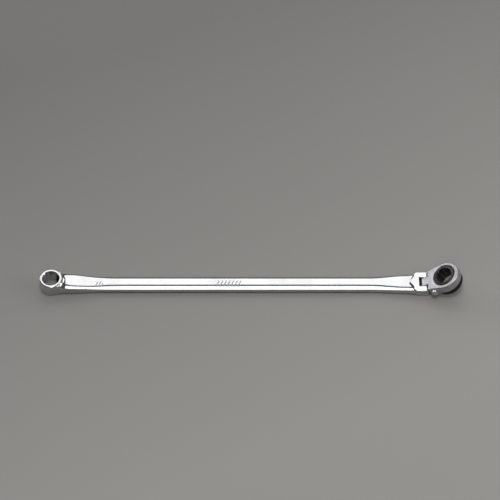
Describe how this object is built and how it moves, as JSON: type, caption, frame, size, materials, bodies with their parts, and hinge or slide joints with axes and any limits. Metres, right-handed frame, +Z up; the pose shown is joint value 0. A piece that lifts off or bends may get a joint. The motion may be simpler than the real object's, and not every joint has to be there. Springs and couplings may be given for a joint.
{
  "type": "flex-head ratcheting box wrench",
  "caption": "Long double-ended box wrench with a fixed twelve-point end and a flexing, reversible ratcheting twelve-point head.",
  "frame": {"origin": "on the axis of the fixed box end, in the flat plane that the ring, bar and fork lie on", "axes": "+X along the bar from the fixed box end to the flexing head, +Z up out of the fixed box end, +Y completes the frame"},
  "size_m": [0.3962, 0.0289, 0.0256],
  "materials": {
    "polished_chrome": "mirror-polished chrome plate with soft waviness",
    "satin_chrome": "satin chrome plate, fine blasted grain",
    "button_chrome": "polished chrome plate",
    "pin_steel": "ground steel",
    "spring_steel": "drawn spring wire",
    "black_phosphate": "dark phosphated and oiled steel",
    "black_ring": "black oxide, half gloss",
    "seal_rubber": "moulded rubber"
  },
  "bodies": {
    "bar": {"handle": "polished_chrome", "pivot_screw": "pin_steel", "flex_washer_front": "pin_steel", "flex_washer_back": "pin_steel", "flex_plunger": "black_phosphate", "flex_spring": "spring_steel"},
    "head": {"head_housing": "satin_chrome", "pawl_pin": "pin_steel", "snap_ring": "black_phosphate", "drag_washer": "black_phosphate"},
    "gear": {"ratchet_gear": "black_phosphate", "gear_seal": "seal_rubber", "spin_ring": "black_ring", "ring_clip": "spring_steel"},
    "pawl_rocker": {"pawl": "black_phosphate"},
    "button": {"button_stem": "pin_steel", "button_cap_front": "button_chrome", "button_cap_back": "button_chrome", "selector_ball": "pin_steel", "selector_spring": "spring_steel"}
  },
  "joints": [
    {"name": "head_flex", "type": "hinge", "parent": "bar", "child": "head", "pos_m": [0.351, 0, 0.00425], "axis": [0, -1, 0], "range_deg": [-120, 60]},
    {"name": "gear_spin", "type": "hinge", "parent": "head", "child": "gear", "pos_m": [0.36988, 0, 0.01515], "axis": [-0.5, 0, 0.866], "continuous": true},
    {"name": "button_slide", "type": "slide", "parent": "head", "child": "button", "axis": [0, 1, 0], "range_m": [0, 0.0022]},
    {"name": "pawl_rock", "type": "hinge", "parent": "head", "child": "pawl_rocker", "pos_m": [0.35637, 0, 0.00735], "axis": [-0.5, 0, 0.866], "range_deg": [0, 8]}
  ],
  "couplings": [
    {"joint": "pawl_rock", "follows": "button_slide", "rad_per_m": 63.46}
  ]
}
